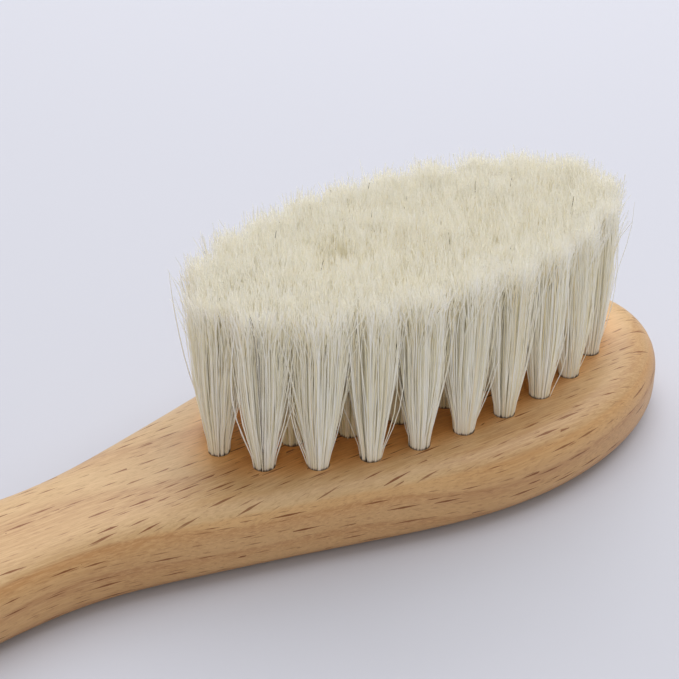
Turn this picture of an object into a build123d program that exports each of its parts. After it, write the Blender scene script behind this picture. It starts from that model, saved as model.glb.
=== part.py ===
from build123d import *
import math
import os

# Dry body brush: a one-piece beech head and handle, set with tufts of goat hair.
# Each tuft sits in a blind hole, folded under a flat wire anchor driven across the hole.
# Millimetres. +X runs along the brush towards the far end of the head, +Z out of the
# bristle side. The origin is the middle of the flat back face.

# Beech body
overall_length = 180.0
body_thickness = 11.4
top_edge_radius = 4.9
back_edge_radius = 4.2
head_half_width = 24.5
head_round_length = 37.8  # from the widest place of the head to its far end
neck_half_width = 9.8
handle_half_width = 12.2
handle_round_length = 20.0  # from the widest place of the handle to its end

# Tuft holes: an outer ring, an inner ring and a centre row
field_from_far_end = 44.0  # middle of the tuft field
outer_ring_radii = (33.9, 15.1)
outer_ring_count = 21
inner_ring_radii = (27.0, 8.1)
inner_ring_pitch = 8.0  # along the brush
centre_row_pitch = 8.5
centre_row_count = 5
hole_diameter = 3.2
hole_depth = 8.0

# Hair tufts
tuft_height = 26.0  # above the wood
tuft_tip_radius = 3.6  # where no neighbour crowds it
tuft_tip_rounding = 0.9
tuft_gap = 0.1  # between the tips of two neighbours
hair_clearance = 0.02  # between the hair and the hole

# Wire anchors
anchor_length = 3.8
anchor_thickness = 0.35
anchor_height = 2.0
anchor_lift = 1.2  # thickness of the hair folded under the anchor

far_end_x = overall_length / 2
handle_end_x = -overall_length / 2
field_x = far_end_x - field_from_far_end
hole_radius = hole_diameter / 2
hole_bottom_z = body_thickness - hole_depth
on_bottom = (Align.CENTER, Align.CENTER, Align.MIN)


def plan_face():
    """The face inside the body's plan outline."""
    head_wide_x = far_end_x - head_round_length
    handle_wide_x = handle_end_x + handle_round_length
    # Half-widths along the waist and neck, by distance from the tuft field's middle.
    waist = [
        (field_x - 15, 21.1),
        (field_x - 30, 16.8),
        (field_x - 45, 12.7),
        (field_x - 60, neck_half_width),
        (field_x - 78, 10.8),
    ]
    side = Spline(
        [(head_wide_x, head_half_width), *waist, (handle_wide_x, handle_half_width)],
        tangents=[(-1, 0), (-1, 0)],
    )
    far_end = EllipticalCenterArc(
        (head_wide_x, 0), head_round_length, head_half_width, 0, arc_size=90
    )
    handle_end = EllipticalCenterArc(
        (handle_wide_x, 0), handle_round_length, handle_half_width, 90, arc_size=90
    )
    upper = Curve() + [far_end, side, handle_end]
    return make_face(upper + mirror(upper, about=Plane.XZ))


def blank_body():
    """The shaped beech blank before it is drilled."""
    blank = extrude(plan_face(), body_thickness)
    top_edges = blank.faces().sort_by(Axis.Z)[-1].edges()
    blank = fillet(top_edges, top_edge_radius)
    back_edges = blank.faces().sort_by(Axis.Z)[0].edges()
    return fillet(back_edges, back_edge_radius)


def outer_ring():
    """Places spread evenly by arc length round the outer ellipse, from its handle end."""
    steps = 3600
    radius_x, radius_y = outer_ring_radii
    angles = [math.pi + 2 * math.pi * i / steps for i in range(steps + 1)]
    points = [(radius_x * math.cos(a), radius_y * math.sin(a)) for a in angles]
    walked = [0.0]
    for before, after in zip(points, points[1:]):
        walked.append(walked[-1] + math.dist(before, after))
    ring = []
    for i in range(outer_ring_count):
        target = walked[-1] * i / outer_ring_count
        index = next(k for k, done in enumerate(walked) if done >= target)
        ring.append(points[index])
    return ring


def inner_ring():
    """Places on the inner ellipse, at even steps along the brush, down both its sides."""
    radius_x, radius_y = inner_ring_radii
    steps_each_way = int(radius_x // inner_ring_pitch)
    ring = []
    for side in (-1, 1):
        for i in range(-steps_each_way, steps_each_way + 1):
            x = i * inner_ring_pitch
            ring.append((x, side * radius_y * math.sqrt(1 - (x / radius_x) ** 2)))
    return ring


def centre_row():
    """Places along the brush's middle line."""
    start = -centre_row_pitch * (centre_row_count - 1) / 2
    return [(start + i * centre_row_pitch, 0.0) for i in range(centre_row_count)]


def tuft_places():
    """Every tuft's place, by node name."""
    groups = {"outer": outer_ring(), "inner": inner_ring(), "centre": centre_row()}
    return {
        f"tuft_{group}_{i:02d}": (field_x + x, y)
        for group, ring in groups.items()
        for i, (x, y) in enumerate(ring, start=1)
    }


def hole_at(x, y):
    """A blind tuft hole, from the top face down."""
    return Pos(x, y, hole_bottom_z) * Cylinder(hole_radius, hole_depth, align=on_bottom)


def anchor_at(x, y):
    """The flat wire anchor across one hole; its ends bite into the wood."""
    plate = Box(anchor_thickness, anchor_length, anchor_height, align=on_bottom)
    return Pos(x, y, hole_bottom_z + anchor_lift) * plate


def crowded_tip_radius(place, all_places):
    """The widest tip that stays clear of the nearest neighbour's."""
    nearest = min(math.dist(place, other) for other in all_places if other != place)
    return min(tuft_tip_radius, (nearest - tuft_gap) / 2)


def tuft_at(x, y, tip_radius):
    """A tuft: straight in its hole, then fanned out to a level tip."""
    root_radius = hole_radius - hair_clearance
    low_z = hole_bottom_z + hair_clearance
    tip_z = body_thickness + tuft_height
    shoulder_z = tip_z - tuft_tip_rounding
    tip_flat_radius = tip_radius - tuft_tip_rounding
    spread = tip_radius - root_radius
    fan_side = Spline(
        [
            (root_radius, body_thickness),
            (root_radius + 0.38 * spread, body_thickness + 0.2 * tuft_height),
            (root_radius + 0.8 * spread, body_thickness + 0.45 * tuft_height),
            (tip_radius, shoulder_z),
        ],
        tangents=[(0.15, 1), (0, 1)],
    )
    tip_side = EllipticalCenterArc(
        (tip_flat_radius, shoulder_z), tuft_tip_rounding, tuft_tip_rounding, 0, arc_size=90
    )
    core = Polyline(
        (tip_flat_radius, tip_z),
        (0, tip_z),
        (0, low_z),
        (root_radius, low_z),
        (root_radius, body_thickness),
    )
    profile = make_face(Curve() + [fan_side, tip_side, core])
    return Pos(x, y, 0) * revolve(Plane.XZ * profile, Axis.Z)


os.makedirs("parts", exist_ok=True)

places = tuft_places()
anchors = {node: anchor_at(*place) for node, place in places.items()}
holes = [hole_at(*place) for place in places.values()]

beech_body = blank_body() - holes - list(anchors.values())
export_step(beech_body, "parts/beech_body.step")

for node, place in places.items():
    tip_radius = crowded_tip_radius(place, places.values())
    tuft = tuft_at(*place, tip_radius) - anchors[node]
    export_step(tuft, f"parts/{node}.step")

tuft_anchors = Compound(children=list(anchors.values()))
export_step(tuft_anchors, "parts/tuft_anchors.step")
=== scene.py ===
import math

import bpy
import numpy as np
from mathutils import Matrix, Vector


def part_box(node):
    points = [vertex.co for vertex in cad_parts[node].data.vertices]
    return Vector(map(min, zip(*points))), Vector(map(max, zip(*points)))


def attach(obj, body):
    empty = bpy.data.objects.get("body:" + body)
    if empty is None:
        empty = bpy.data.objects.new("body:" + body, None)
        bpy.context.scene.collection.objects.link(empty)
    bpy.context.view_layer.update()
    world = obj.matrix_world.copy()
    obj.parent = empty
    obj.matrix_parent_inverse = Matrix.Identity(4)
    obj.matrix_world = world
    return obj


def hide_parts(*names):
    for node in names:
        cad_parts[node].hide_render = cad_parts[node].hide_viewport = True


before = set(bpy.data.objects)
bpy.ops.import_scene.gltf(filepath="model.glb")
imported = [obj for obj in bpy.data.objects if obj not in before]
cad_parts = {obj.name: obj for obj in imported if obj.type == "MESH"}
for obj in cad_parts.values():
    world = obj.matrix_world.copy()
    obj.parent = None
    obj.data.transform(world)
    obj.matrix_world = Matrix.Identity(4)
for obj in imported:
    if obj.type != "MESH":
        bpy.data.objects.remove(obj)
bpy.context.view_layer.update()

# Body dry brush: a beech body with 40 tufts of goat hair. Metres, in the CAD frame:
# +X towards the far end of the head, +Z out of the bristle side, the back at z = 0.

MM = 0.001

WOOD = "beech_body"
ANCHORS = "tuft_anchors"
TUFTS = sorted(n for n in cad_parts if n.startswith("tuft_") and n != ANCHORS)


def middle(node):
    """The middle of a node's box."""
    low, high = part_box(node)
    return (low + high) / 2


wood_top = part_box(WOOD)[1].z
hair_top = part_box(TUFTS[0])[1].z
tuft_xy = {node: np.array(middle(node)[:2]) for node in TUFTS}
field_low = np.min(list(tuft_xy.values()), axis=0)
field_high = np.max(list(tuft_xy.values()), axis=0)
field_x = (field_low[0] + field_high[0]) / 2
field_half = (field_high - field_low) / 2


# ---------------------------------------------------------------- node materials

class Nodes:
    """Short calls for building one material's nodes."""

    def __init__(self, name):
        self.material = bpy.data.materials.new(name)
        self.material.use_nodes = True
        self.tree = self.material.node_tree
        self.tree.nodes.clear()

    def add(self, kind, inputs=None, **settings):
        """A node with its settings, and its inputs set or linked by name or index."""
        node = self.tree.nodes.new(kind)
        for key, value in settings.items():
            setattr(node, key, value)
        for key, value in (inputs or {}).items():
            if isinstance(value, bpy.types.NodeSocket):
                self.tree.links.new(value, node.inputs[key])
            else:
                node.inputs[key].default_value = value
        return node

    def maths(self, operation, a, b=0.0, clamp=False):
        node = self.add("ShaderNodeMath", {0: a, 1: b}, operation=operation)
        node.use_clamp = clamp
        return node.outputs[0]

    def vector(self, operation, a, b=(0, 0, 0)):
        node = self.add("ShaderNodeVectorMath", {0: a, 1: b}, operation=operation)
        return node.outputs["Value" if operation in ("LENGTH", "DOT_PRODUCT") else "Vector"]

    def smooth(self, value, low, high, to_low=0.0, to_high=1.0):
        """value eased from to_low at low to to_high at high."""
        node = self.add(
            "ShaderNodeMapRange",
            {0: value, 1: low, 2: high, 3: to_low, 4: to_high},
            interpolation_type="SMOOTHSTEP",
        )
        return node.outputs[0]

    def noise(self, vector, scale, detail, roughness=0.5):
        node = self.add(
            "ShaderNodeTexNoise",
            {"Vector": vector, "Scale": scale, "Detail": detail, "Roughness": roughness},
        )
        return node.outputs

    def ramp(self, value, stops):
        node = self.add("ShaderNodeValToRGB", {0: value})
        elements = node.color_ramp.elements
        while len(elements) < len(stops):
            elements.new(0.5)
        for element, (place, colour) in zip(elements, stops):
            element.position = place
            element.color = (*colour, 1)
        return node.outputs[0]

    def mix(self, share, a, colour, blend="MIX"):
        """a, mixed with a plain colour by a share."""
        node = self.add(
            "ShaderNodeMix", {0: share, 6: a, 7: (*colour, 1)}, data_type="RGBA", blend_type=blend
        )
        return node.outputs[2]

    def stretched(self, place, sizes):
        """Coordinates in which a blob of the given sizes, in mm, is one unit long each way."""
        return self.vector("MULTIPLY", place, tuple(1 / (size * MM) for size in sizes))

    def blobs(self, place, sizes, detail, roughness=0.5):
        """Noise with blobs of the given sizes, in mm."""
        return self.noise(self.stretched(place, sizes), 1.0, detail, roughness)["Fac"]

    def bump(self, height, strength, distance):
        inputs = {"Height": height, "Strength": strength, "Distance": distance}
        return self.add("ShaderNodeBump", inputs).outputs[0]

    def finish(self, shader):
        self.add("ShaderNodeOutputMaterial", {"Surface": shader})
        return self.material


# ---------------------------------------------------------------- beech

# Linear colours of the wood, its late wood, its fibres and pores, and its ray flecks.
WOOD_LIGHT = (0.645, 0.442, 0.232)
WOOD_MIDDLE = (0.600, 0.387, 0.186)
WOOD_DARK = (0.545, 0.330, 0.146)
WOOD_RING = (0.430, 0.200, 0.068)
WOOD_FIBRE = (0.740, 0.520, 0.285)
WOOD_PORE = (0.380, 0.190, 0.073)
WOOD_FLECK = (0.225, 0.072, 0.010)
# Painted warm shade for the steep sides of the wood.
SIDE_PAINTED_SHADE = (0.99, 0.89, 0.77)
BETWEEN_TUFTS_TINT = (1.40, 1.00, 0.58)

# Sizes along X, Y and Z, in mm.
WANDER_SIZES = (60, 22, 22)
FIBRE_SIZES = (9, 0.24, 0.24)
PORE_SIZES = (1.5, 0.21, 0.21)
PATCH_SIZES = (38, 11, 11)
BETWEEN_TUFTS_SIZES = (34, 15, 34)

grain_wander = (0, 7.0 * MM, 7.0 * MM)  # full width of the grain's wander along X, Y and Z
fleck_wander = (0, 2.0 * MM, 2.0 * MM)
ring_pitch = 3.6 * MM
heart_away = (0, 12.0 * MM, 34.0 * MM)  # from the tree's heart to the origin
heart_shares = (0.10, 1, 1)  # how much X, Y and Z count in the distance from the heart
late_wood_share, ring_line_share = 0.42, 0.22
fibre_share, pore_share = 0.48, 0.42
side_levels = (0.64, 0.76)  # how level a face is where it counts as a side, and as a top
fleck_half_widths = {"z": 0.20, "y": 0.17}  # in mm, by the way the face looks


def flecks(n, place, facing, spacing, half_sizes, cover, flat_axis):
    """Short dark spindles along X: one in each cell of a stretched cell pattern.

    spacing and half_sizes are along and across the grain, in mm, and cover is the share
    of cells with a spindle. The pattern hardly changes along flat_axis, so it suits a
    face that looks that way. facing is how squarely the surface looks that way: it keeps
    spindles as thin on a slope.
    """
    far = 40.0  # along flat_axis, in mm
    least_facing = 0.3
    along, across = spacing
    half_along, half_across = half_sizes
    squarely = n.maths("MAXIMUM", facing, least_facing)
    narrowing = n.maths("DIVIDE", across / half_across, squarely)
    if flat_axis == "z":
        cell_sizes = (along, across, far)
        to_spindle = n.add("ShaderNodeCombineXYZ", {0: along / half_along, 1: narrowing})
    else:
        cell_sizes = (along, far, across)
        to_spindle = n.add("ShaderNodeCombineXYZ", {0: along / half_along, 2: narrowing})
    cell_place = n.stretched(place, cell_sizes)
    cells = n.add(
        "ShaderNodeTexVoronoi", {"Vector": cell_place, "Scale": 1.0, "Randomness": 1.0}
    )
    away = n.vector("SUBTRACT", cell_place, cells.outputs["Position"])
    reach = n.vector("ABSOLUTE", n.vector("MULTIPLY", away, to_spindle.outputs[0]))
    reach = n.vector("DOT_PRODUCT", reach, (1, 1, 1))
    chances = n.add("ShaderNodeSeparateColor", {0: cells.outputs["Color"]}).outputs
    there = n.maths("LESS_THAN", chances[0], cover)
    strength = n.smooth(chances[1], 0.0, 1.0, 0.80, 1.0)
    size = n.smooth(chances[2], 0.0, 1.0, 0.50, 1.0)
    spindle = n.smooth(n.maths("SUBTRACT", size, reach), 0.0, 0.14)
    return n.maths("MULTIPLY", spindle, n.maths("MULTIPLY", there, strength))


def long_and_short_flecks(n, place, facing, flat_axis):
    """The ray flecks of a face: long dark ones, and short ones, thinner and fainter."""
    half_width = fleck_half_widths[flat_axis]
    thinness, faintness = 0.6, 0.6
    long_ones = flecks(
        n, place, facing,
        spacing=(6.4, 2.3), half_sizes=(2.9, half_width), cover=0.85, flat_axis=flat_axis,
    )
    short_ones = flecks(
        n, place, facing,
        spacing=(4.0, 1.5), half_sizes=(1.6, thinness * half_width), cover=0.60,
        flat_axis=flat_axis,
    )
    return n.maths("MAXIMUM", long_ones, n.maths("MULTIPLY", short_ones, faintness))


def growth_rings(n, place):
    """Rings about a heart far below and to one side, cut by every face.

    Gives the share of dark late wood, and of the thin line that ends each ring.
    """
    from_heart = n.vector("ADD", place, heart_away)
    from_heart = n.vector("MULTIPLY", from_heart, heart_shares)
    rings = n.maths("MULTIPLY", n.vector("LENGTH", from_heart), 1 / ring_pitch)
    in_ring = n.maths("FRACT", rings)  # 0 at a ring's start to 1 at its end
    late_from, late_full = 0.25, 0.86
    line_from, line_full = 0.78, 0.88
    fade = n.smooth(in_ring, late_full, 1.0, 1.0, 0.0)
    late_wood = n.maths("MULTIPLY", n.smooth(in_ring, late_from, late_full), fade)
    ring_line = n.maths("MULTIPLY", n.smooth(in_ring, line_from, line_full), fade)
    return late_wood, ring_line


def beech_material():
    """Beech: rings, fibres, pores and ray flecks, all lying along the brush."""
    n = Nodes("beech_wood")
    coordinates = n.add("ShaderNodeTexCoord")
    place = coordinates.outputs["Object"]
    normal_z = n.add("ShaderNodeSeparateXYZ", {0: coordinates.outputs["Normal"]}).outputs[2]
    level = n.maths("ABSOLUTE", normal_z)
    steep = n.maths("SQRT", n.maths("SUBTRACT", 1.0, n.maths("MULTIPLY", level, level), True))
    side = n.smooth(level, *side_levels, 1.0, 0.0)

    # Long slow wander, so that no line runs dead straight along the brush.
    wander = n.noise(n.stretched(place, WANDER_SIZES), 1.0, 1.5)["Color"]
    wander = n.vector("SUBTRACT", wander, (0.5, 0.5, 0.5))
    grain_place = n.vector("ADD", place, n.vector("MULTIPLY", wander, grain_wander))
    fleck_place = n.vector("ADD", place, n.vector("MULTIPLY", wander, fleck_wander))

    late_wood, ring_line = growth_rings(n, grain_place)
    fibres = n.blobs(grain_place, FIBRE_SIZES, 4.0, 0.6)
    pores = n.blobs(grain_place, PORE_SIZES, 2.0, 0.6)
    patches = n.blobs(place, PATCH_SIZES, 3.0)

    base = n.ramp(patches, [(0.30, WOOD_DARK), (0.52, WOOD_MIDDLE), (0.72, WOOD_LIGHT)])
    base = n.mix(n.maths("MULTIPLY", late_wood, late_wood_share), base, WOOD_RING)
    base = n.mix(n.maths("MULTIPLY", ring_line, ring_line_share), base, WOOD_PORE)
    base = n.mix(n.smooth(fibres, 0.40, 0.68, 0.0, fibre_share), base, WOOD_FIBRE)
    base = n.mix(n.smooth(pores, 0.50, 0.72, 0.0, pore_share), base, WOOD_PORE)
    # Painted warm shade: the steep sides are made darker and warmer.
    base = n.mix(side, base, SIDE_PAINTED_SHADE, "MULTIPLY")
    # Light that passes through the hair warms the wood between the tufts.
    from_field = n.vector("SUBTRACT", place, (field_x, 0, 0))
    from_field = n.vector("LENGTH", n.stretched(from_field, BETWEEN_TUFTS_SIZES))
    between_tufts = n.smooth(from_field, 0.92, 1.26, 1.0, 0.0)
    base = n.mix(between_tufts, base, BETWEEN_TUFTS_TINT, "MULTIPLY")

    top_marks = long_and_short_flecks(n, fleck_place, level, "z")
    top_marks = n.maths("MULTIPLY", top_marks, n.maths("SUBTRACT", 1.0, side))
    side_marks = long_and_short_flecks(n, fleck_place, steep, "y")
    side_marks = n.maths("MULTIPLY", side_marks, side)
    marks = n.maths("MAXIMUM", top_marks, side_marks)
    base = n.mix(marks, base, WOOD_FLECK)

    height = n.maths("MULTIPLY", fibres, 0.5)
    height = n.maths("SUBTRACT", height, n.maths("MULTIPLY", marks, 0.55))
    height = n.maths("SUBTRACT", height, n.maths("MULTIPLY", pores, 0.4))
    roughness = n.smooth(fibres, 0.3, 0.75, 0.40, 0.54)
    roughness = n.maths("ADD", roughness, n.maths("MULTIPLY", marks, 0.12))
    shader = n.add(
        "ShaderNodeBsdfPrincipled",
        {
            "Base Color": base,
            "Roughness": roughness,
            "Normal": n.bump(height, 0.22, 0.12 * MM),
            "Specular IOR Level": 0.60,
            "Coat Weight": 0.06,
            "Coat Roughness": 0.30,
        },
    )
    return n.finish(shader.outputs[0])


# ---------------------------------------------------------------- hair, wire and floor materials

# Linear colours of the hair by its tone: a few dark hairs, then straw to nearly white.
HAIR_TONES = [
    (0.00, (0.090, 0.062, 0.045)),
    (0.06, (0.110, 0.078, 0.058)),
    (0.10, (0.870, 0.760, 0.520)),
    (0.35, (0.988, 0.971, 0.888)),
    (0.70, (0.998, 0.993, 0.950)),
    (1.00, (0.999, 0.997, 0.972)),
]
# Painted yellow shade among the hairs, below the tips.
HAIR_PAINTED_SHADE = (0.974, 0.900, 0.580)
HAIR_TIP = (0.999, 0.995, 0.970)
HAIR_MOTTLE = (0.960, 0.905, 0.740)
HAIR_AT_RIM = (0.200, 0.110, 0.045)
MOTTLE_SIZES = (0.8, 0.8, 4.0)
WIRE_SIZES = (0.05, 1.5, 0.05)

tip_depth = 3.5 * MM  # how far down the whiter tips fade out
tip_share, mottle_share, rim_share = 0.80, 0.32, 0.85
painted_shade_share = 0.90
painted_shade_depth, painted_shade_free_depth = 7.0 * MM, 1.4 * MM  # below the top: full painted shade, and none
rim_places = (0.052, 0.068)  # along the hair, where the rim's shade starts to fade, and ends


def hair_material():
    """Goat hair: each hair has its own tone, a whiter tip and painted yellow shade below it."""
    n = Nodes("goat_hair")
    tone = n.add("ShaderNodeAttribute", attribute_name="tone").outputs["Fac"]
    along = n.add("ShaderNodeAttribute", attribute_name="along").outputs["Fac"]
    painted_shade_strength = n.add("ShaderNodeAttribute", attribute_name="painted_shade_strength").outputs["Fac"]
    place = n.add("ShaderNodeTexCoord").outputs["Object"]
    level = n.add("ShaderNodeSeparateXYZ", {0: place}).outputs[2]
    pale = n.smooth(tone, 0.08, 0.12)
    colour = n.ramp(tone, HAIR_TONES)
    # Painted shade: the hair below the trimmed top is tinted yellow, where light deep among the
    # hairs turns yellow.
    painted_shade_mask = n.smooth(level, hair_top - painted_shade_depth, hair_top - painted_shade_free_depth, painted_shade_share, 0.0)
    painted_shade_mask = n.maths("MULTIPLY", painted_shade_mask, pale)
    colour = n.mix(n.maths("MULTIPLY", painted_shade_mask, painted_shade_strength), colour, HAIR_PAINTED_SHADE)
    tip = n.smooth(level, hair_top - tip_depth, hair_top, 0.0, tip_share)
    colour = n.mix(n.maths("MULTIPLY", tip, pale), colour, HAIR_TIP)
    mottle = n.blobs(place, MOTTLE_SIZES, 2.0)
    colour = n.mix(n.smooth(mottle, 0.40, 0.65, 0.0, mottle_share), colour, HAIR_MOTTLE)
    # The rim of the hole shades the first of the free hair.
    colour = n.mix(n.smooth(along, *rim_places, rim_share, 0.0), colour, HAIR_AT_RIM)
    shader = n.add(
        "ShaderNodeBsdfPrincipled",
        {
            "Base Color": colour,
            "Roughness": 0.48,
            "Specular IOR Level": 0.30,
            "Sheen Weight": 0.08,
            "Sheen Roughness": 0.4,
        },
    )
    return n.finish(shader.outputs[0])


def wire_material():
    """Drawn steel wire, rolled flat."""
    n = Nodes("anchor_wire")
    place = n.add("ShaderNodeTexCoord").outputs["Object"]
    drawn = n.blobs(place, WIRE_SIZES, 3.0)
    colour = n.ramp(drawn, [(0.3, (0.42, 0.41, 0.40)), (0.7, (0.62, 0.61, 0.60))])
    shader = n.add(
        "ShaderNodeBsdfPrincipled",
        {
            "Base Color": colour,
            "Metallic": 1.0,
            "Roughness": n.smooth(drawn, 0.3, 0.7, 0.28, 0.45),
            "Normal": n.bump(drawn, 0.2, 0.02 * MM),
        },
    )
    return n.finish(shader.outputs[0])


def floor_material():
    """A pale floor, with faint wide clouds."""
    n = Nodes("studio_floor")
    place = n.add("ShaderNodeTexCoord").outputs["Object"]
    clouds = n.noise(place, 3.0, 2.0)["Fac"]
    colour = n.ramp(clouds, [(0.3, (0.604, 0.622, 0.716)), (0.7, (0.618, 0.637, 0.730))])
    shader = n.add(
        "ShaderNodeBsdfPrincipled",
        {"Base Color": colour, "Roughness": 0.75, "Specular IOR Level": 0.2},
    )
    return n.finish(shader.outputs[0])


# ---------------------------------------------------------------- goat hair

hairs_per_tuft = 760
hair_rings = 9  # rings of points along one hair
hair_sides = 3
hair_radius = 0.070 * MM
radius_shares = (0.75, 1.25)  # from the thinnest hair to the thickest
taper_places = (0, 0.6, 0.9, 1)  # along the hair, and its width there
taper_widths = (1, 0.95, 0.82, 0.50)

# The bundle
root_depth = 1.5 * MM  # how far down the hole the hairs start
root_radius = 1.38 * MM
locks_per_tuft = 95
root_pull = 0.72  # how far a lock draws its hairs in
pull_loss = 0.22  # how much less it draws them in at the tip
least_pull_share = 0.3
loose_share = 0.22  # of the hairs, which cross the others more
loose_crossing, usual_crossing = 0.30, 0.06  # in the tuft's unit disc

# The fan
fan_slope = 0.168  # how fast a tuft's edge widens where nothing stops it
fan_spread = 0.08  # from tuft to tuft, as a share of the slope
fan_sharpness = 6  # how suddenly its limit stops it
tip_radius = 4.6 * MM  # about how far out a tuft's edge ends, for finding its dips
neighbour_distance = 14.0 * MM  # no tuft farther away stops a tuft's fan
near_reach, far_reach = 3.4 * MM, 2.3 * MM  # how far an open edge fans, at the field's ends
widest_reach = 7.0 * MM  # how far an edge between tufts may fan
shared_overlap = 1.20 * MM  # how far neighbours' hairs mingle
outer_ring_share = 0.95  # beyond this share of the field's half-sizes is its outer ring
least_neighbour_facing = 0.2  # for the limit of hairs that fan past a neighbour
open_from = 0.05  # how far outwards an edge faces where it starts to open
open_over = 0.35  # how much farther outwards it faces where it is fully open

# The trimmed top
tuft_lowering = 0.10 * MM  # how far below the CAD tuft's tip its hairs usually end
tuft_spread = 0.12 * MM  # from tuft to tuft, then from lock to lock and hair to hair
lock_spread = 0.50 * MM
tip_spread = 0.26 * MM
edge_drop = 0.35 * MM  # how much lower a tuft ends at its edge
short_share = 0.22
shortest_by = 5.0 * MM
least_dip_share = 0.6  # of a dip's depth, for the hair that follows it least
main_dip = (-12.0 * MM, 2.0 * MM, 4.0 * MM, 2.2 * MM)  # place from the middle, depth, radius
small_dip_count = 16
small_dip_depths = (1.0, 2.8)  # in mm
small_dip_radii = (0.8, 1.4)  # in mm

# Strays and bends
stray_share = 0.025  # of the hairs
stray_bows = (0.3, 1.7)  # in mm
stray_skews = (0.5, 1.2)  # below 1 a stray bows out nearer its root
stray_tip_share = 0.8  # of the bow, which stays at the tip
flyaway_share = 0.016  # at the tuft's edge
flyaway_bows = (1.0, 3.6)  # in mm
tuft_lean, lock_lean, hair_lean = 0.20 * MM, 0.40 * MM, 0.18 * MM
wave_height = 0.10 * MM
tip_bend = 0.90 * MM
bend_from = 0.80  # along the hair
far_lean = 1.2 * MM  # how far the tufts at the far end lean back over the field

# Tones
usual_tone, tone_spread = 0.66, 0.25
least_tone = 0.12  # of a pale hair
dark_share = 0.0009  # of the hairs
dark_strand_tuft = "tuft_outer_02"  # it has a dark strand down its near side
dark_strand_spot = np.array([-0.55, -0.80])  # in the tuft's unit disc
dark_strand_hairs = 3
outer_shade_strength, inner_shade_strength = 0.06, 0.80  # usual strength of the painted yellow shade, by ring
shade_strength_spread = 0.25

first_tuft_seed = 700
dip_seed = 41


def in_unit_disc(rng, count):
    """Points spread evenly over a disc of radius 1."""
    share = np.sqrt(rng.random(count))
    angle = rng.random(count) * 2 * math.pi
    return np.stack([share * np.cos(angle), share * np.sin(angle)], axis=1)


def make_dips():
    """Where the hairs part and the top dips: place from the field's middle, depth, radius."""
    rng = np.random.default_rng(dip_seed)
    dips = [main_dip]
    for spot in in_unit_disc(rng, small_dip_count):
        depth = rng.uniform(*small_dip_depths) * MM
        radius = rng.uniform(*small_dip_radii) * MM
        dips.append((*(spot * field_half), depth, radius))
    return dips


def dip_depth(place, dips):
    """How far the trimmed top lies below its level at these places."""
    depth = np.zeros(len(place))
    for dip_x, dip_y, deepest, radius in dips:
        away = np.hypot(place[:, 0] - field_x - dip_x, place[:, 1] - dip_y) / radius
        depth = np.maximum(depth, deepest * np.exp(-(away**2)))
    return depth


def along_field(centre):
    """0 at the handle end of the tuft field to 1 at its far end."""
    return (centre[0] - field_low[0]) / (field_high[0] - field_low[0])


def reach_limits(angles, centre, others):
    """How far hairs at these angles fan out before the neighbouring tufts stop them."""
    shared = np.full(angles.shape, widest_reach)
    for other in others:
        gap = other - centre
        distance = np.hypot(*gap)
        facing = np.cos(angles - math.atan2(gap[1], gap[0]))
        stop = (distance / 2 + shared_overlap) / np.maximum(facing, least_neighbour_facing)
        shared = np.minimum(shared, stop)
    from_middle = (centre - (field_x, 0)) / field_half
    if np.hypot(*from_middle) < outer_ring_share:
        return shared
    # A tuft of the outer ring has open air on its outer side.
    outward = from_middle / field_half
    outward = outward / np.hypot(*outward)
    facing_out = np.cos(angles) * outward[0] + np.sin(angles) * outward[1]
    open_reach = near_reach + (far_reach - near_reach) * along_field(centre)
    is_open = np.clip((facing_out - open_from) / open_over, 0, 1)
    return shared + (open_reach - shared) * is_open


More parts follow.
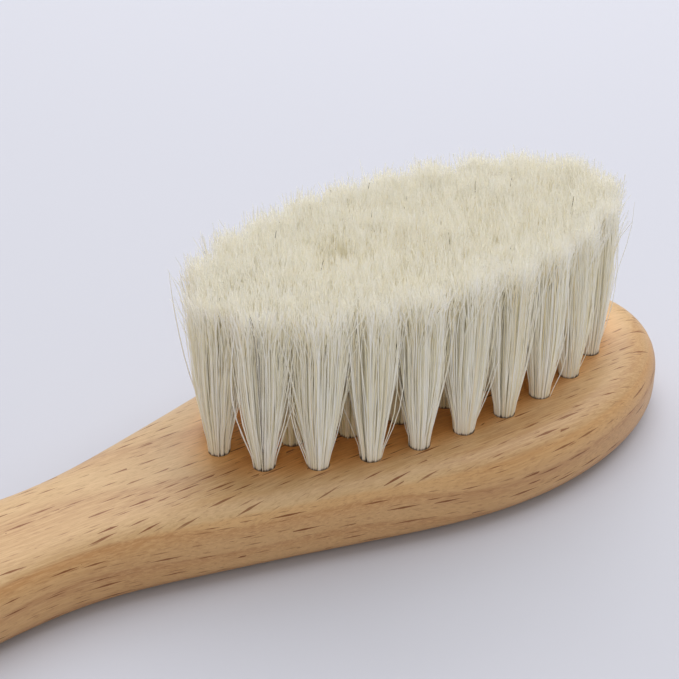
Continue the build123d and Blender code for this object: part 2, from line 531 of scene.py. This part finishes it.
def hair_lines(rng, centre, others, dips):
    """One tuft's hairs: the middle line of each, (hair, ring, xyz), its tone and its spot.

    A hair's spot is where it stands in the bundle, as a point in a unit disc.
    """
    count = hairs_per_tuft
    along = np.linspace(0, 1, hair_rings)[None, :]
    spot = in_unit_disc(rng, count)
    share = np.hypot(spot[:, 0], spot[:, 1])

    # Locks: every hair keeps close to the lock nearest to it, less so near its tip.
    locks = in_unit_disc(rng, locks_per_tuft)
    lock = np.argmin(((spot[:, None] - locks[None]) ** 2).sum(2), axis=1)
    pull_share = rng.uniform(least_pull_share, 1.0, (count, 1))
    pull = (root_pull - pull_loss * along**2) * pull_share
    is_loose = rng.random(count) < loose_share
    crossing_size = np.where(is_loose, loose_crossing, usual_crossing)[:, None, None]
    crossing = rng.normal(0, 1, (count, 1, 2)) * crossing_size * along[..., None]
    spots = spot[:, None] + (locks[lock] - spot)[:, None] * pull[..., None] + crossing

    # Levels: a trimmed top, lower towards the tuft's edge, with some short hairs.
    tip_z = hair_top + rng.normal(-tuft_lowering, tuft_spread)
    tip_z = tip_z + rng.normal(0, lock_spread, locks_per_tuft)[lock]
    is_short = rng.random(count) < short_share
    short_by = np.where(is_short, rng.random(count) ** 2 * shortest_by, 0)
    dip = dip_depth(centre + spots[:, -1] * tip_radius, dips)
    dip = dip * rng.uniform(least_dip_share, 1.0, count)
    tip_z = tip_z + rng.normal(0, tip_spread, count)
    tip_z = tip_z - edge_drop * share**3 - short_by - dip
    root_z = wood_top - root_depth
    z = root_z + along * (tip_z - root_z)[:, None]
    height = np.maximum(z - wood_top, 0)

    # Fanning: the edge widens evenly until a neighbour stops it.
    turn = np.arctan2(spots[..., 1], spots[..., 0])
    edge = root_radius + fan_slope * rng.normal(1, fan_spread) * height
    limit = reach_limits(turn, centre, others)
    edge = edge / (1 + (edge / limit) ** fan_sharpness) ** (1 / fan_sharpness)
    x = centre[0] + spots[..., 0] * edge
    y = centre[1] + spots[..., 1] * edge

    # A few strays bow out of the bundle, and a few more fly away near the tuft's edge.
    is_stray = (rng.random(count) < stray_share)[:, None]
    stray = is_stray * rng.uniform(*stray_bows, (count, 1)) * MM
    swell = np.sin(math.pi * along ** rng.uniform(*stray_skews, (count, 1))) ** 2
    is_flyaway = (rng.random(count) < flyaway_share * share**4)[:, None]
    flyaway = is_flyaway * rng.uniform(*flyaway_bows, (count, 1)) * MM
    bow = stray * (swell + stray_tip_share * along**2) + flyaway * along**2.5
    x = x + bow * np.cos(turn)
    y = y + bow * np.sin(turn)

    # The lean of the tuft, its locks and its hairs, and each hair's wave and bent tip.
    free = (height / (hair_top - wood_top)) ** 1.4
    bent = np.clip((along - bend_from) / (1 - bend_from), 0, 1) ** 1.3
    for axis in (x, y):
        lean = rng.normal(0, lock_lean, locks_per_tuft)[lock][:, None]
        lean = lean + rng.normal(0, tuft_lean) + rng.normal(0, hair_lean, (count, 1))
        wave = wave_height * np.sin(2 * math.pi * (along * 0.9 + rng.random((count, 1))))
        axis += (lean + wave) * free + rng.normal(0, tip_bend, (count, 1)) * bent
    x = x - far_lean * along_field(centre) ** 3 * free

    tone = np.clip(rng.normal(usual_tone, tone_spread, count), least_tone, 1.0)
    tone = np.where(rng.random(count) < dark_share, 0.0, tone)
    return np.stack([x, y, z], axis=2), tone, spot


def hair_mesh(name, lines, tone, painted_shade_strength, rng):
    """Closed three-sided tubes round the lines, with each point's tints and place.

    The sides stay flat: smoothing across corners this sharp would swallow light.
    """
    count, rings = lines.shape[:2]
    along = np.linspace(0, 1, rings)
    taper = np.interp(along, taper_places, taper_widths)
    width = hair_radius * rng.uniform(*radius_shares, count)
    corners = 2 * math.pi * np.arange(hair_sides) / hair_sides
    turn = rng.random(count)[:, None] * 2 * math.pi + corners[None]
    ring = np.stack([np.cos(turn), np.sin(turn), np.zeros_like(turn)], axis=2)
    size = width[:, None] * taper[None]
    points = lines[:, :, None] + ring[:, None] * size[:, :, None, None]

    first = (np.arange(count) * rings * hair_sides)[:, None, None]
    level = (np.arange(rings - 1) * hair_sides)[None, :, None]
    side = np.arange(hair_sides)[None, None]
    after = (side + 1) % hair_sides
    low, high = first + level, first + level + hair_sides
    quads = np.stack([low + side, low + after, high + after, high + side], axis=3)
    quads = quads.reshape(-1, 4)
    start = first.reshape(-1, 1)
    root_caps = start + np.arange(hair_sides)[::-1]
    tip_caps = start + (rings - 1) * hair_sides + np.arange(hair_sides)
    caps = np.concatenate([root_caps, tip_caps])

    corners_used = np.concatenate([quads.ravel(), caps.ravel()])
    sizes = np.concatenate([np.full(len(quads), 4), np.full(len(caps), hair_sides)])
    starts = np.concatenate([[0], np.cumsum(sizes)[:-1]])
    mesh = bpy.data.meshes.new(name)
    mesh.vertices.add(count * rings * hair_sides)
    mesh.loops.add(len(corners_used))
    mesh.polygons.add(len(sizes))
    mesh.vertices.foreach_set("co", points.astype(np.float32).ravel())
    mesh.loops.foreach_set("vertex_index", corners_used.astype(np.int32))
    mesh.polygons.foreach_set("loop_start", starts.astype(np.int32))
    mesh.update(calc_edges=True)
    mesh.polygons.foreach_set("use_smooth", np.zeros(len(sizes), bool))
    per_point = {
        "tone": np.repeat(tone, rings * hair_sides),
        "painted_shade_strength": np.repeat(painted_shade_strength, rings * hair_sides),
        "along": np.tile(np.repeat(along, hair_sides), count),
    }
    for key, values in per_point.items():
        layer = mesh.attributes.new(key, "FLOAT", "POINT")
        layer.data.foreach_set("value", values.astype(np.float32))
    return mesh


def build_tuft(node, seed, dips, material):
    """One tuft's hairs, in place of its CAD solid."""
    rng = np.random.default_rng(seed)
    centre = tuft_xy[node]
    others = [xy for other, xy in tuft_xy.items() if other != node]
    others = [xy for xy in others if np.hypot(*(xy - centre)) < neighbour_distance]
    lines, tone, spot = hair_lines(rng, centre, others, dips)
    if node == dark_strand_tuft:
        away = np.hypot(*(spot - dark_strand_spot).T)
        tone[np.argsort(away)[:dark_strand_hairs]] = 0.0
    # Painted shade: hair inside the field gets a stronger yellow shade below its tips than the
    # hair round its edge.
    usual_shade_strength = outer_shade_strength if "outer" in node else inner_shade_strength
    painted_shade_strength = np.clip(rng.normal(usual_shade_strength, shade_strength_spread, len(tone)), 0, 1)
    name = node.replace("tuft", "hair")
    piece = bpy.data.objects.new(name, hair_mesh(name, lines, tone, painted_shade_strength, rng))
    bpy.context.scene.collection.objects.link(piece)
    piece.data.materials.append(material)
    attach(piece, "root")
    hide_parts(node)


def build_hair():
    material = hair_material()
    dips = make_dips()
    for number, node in enumerate(TUFTS):
        build_tuft(node, first_tuft_seed + number, dips, material)


# ---------------------------------------------------------------- studio and camera

floor_half = 6.0
target_offset = (-2.47 * MM, 15.23 * MM)  # from the field's middle to what the camera faces
camera_turn = math.radians(-124.5)
camera_lift = math.radians(31.69)
camera_roll = math.radians(0.51)
camera_distance = 266.4 * MM


def set_material(node, material):
    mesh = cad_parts[node].data
    mesh.materials.clear()
    mesh.materials.append(material)


def build_floor():
    mesh = bpy.data.meshes.new("floor")
    signs = ((-1, -1), (1, -1), (1, 1), (-1, 1))
    corners = [(x * floor_half, y * floor_half, 0) for x, y in signs]
    mesh.from_pydata(corners, [], [(0, 1, 2, 3)])
    floor = bpy.data.objects.new("floor", mesh)
    floor.location.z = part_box(WOOD)[0].z
    mesh.materials.append(floor_material())
    bpy.context.scene.collection.objects.link(floor)


def soft_light(name, away, size, power, colour):
    """A square soft box at an offset from the bristles, aimed at them: metres and watts."""
    data = bpy.data.lights.new(name, "AREA")
    data.shape = "SQUARE"
    data.size = size
    data.energy = power
    data.color = colour
    light = bpy.data.objects.new(name, data)
    aim = Vector((field_x, 0, wood_top))
    light.location = aim + Vector(away)
    light.rotation_euler = (-Vector(away)).to_track_quat("-Z", "Y").to_euler()
    bpy.context.scene.collection.objects.link(light)


def build_lights():
    soft_light("key", (0.36, 0.15, 0.80), 1.00, 6.8, (1.0, 0.985, 0.955))
    soft_light("back", (0.30, 0.88, 0.52), 1.00, 3.6, (1.0, 1.0, 1.0))
    soft_light("fill", (-0.45, -0.75, 0.50), 0.90, 1.2, (1.0, 0.94, 0.78))
    world = bpy.data.worlds.new("studio")
    world.use_nodes = True
    background = world.node_tree.nodes["Background"]
    background.inputs["Color"].default_value = (1.0, 0.975, 0.945, 1)
    background.inputs["Strength"].default_value = 0.42
    bpy.context.scene.world = world
    bpy.context.scene.view_settings.view_transform = "Standard"
    # Pale hair passes light on many times, so it needs more bounces than usual.
    bpy.context.scene.cycles.diffuse_bounces = 12
    bpy.context.scene.cycles.max_bounces = 12


def build_camera():
    """The camera stands near the handle, to the near side, and looks down on the head."""
    target = Vector((field_x + target_offset[0], target_offset[1], wood_top))
    back_x = math.cos(camera_lift) * math.cos(camera_turn)
    back_y = math.cos(camera_lift) * math.sin(camera_turn)
    back = Vector((back_x, back_y, math.sin(camera_lift)))
    level = Vector((0, 0, 1)).cross(back).normalized()
    upright = back.cross(level)
    right = level * math.cos(camera_roll) + upright * math.sin(camera_roll)
    up = upright * math.cos(camera_roll) - level * math.sin(camera_roll)
    data = bpy.data.cameras.new("camera")
    data.sensor_width = 36
    data.lens = 90.25
    data.clip_start = 0.01
    camera = bpy.data.objects.new("camera", data)
    turned = Matrix((right, up, back)).transposed().to_4x4()
    camera.matrix_world = Matrix.Translation(target + back * camera_distance) @ turned
    bpy.context.scene.collection.objects.link(camera)
    bpy.context.scene.camera = camera


set_material(WOOD, beech_material())
set_material(ANCHORS, wire_material())
build_hair()
build_floor()
build_lights()
build_camera()
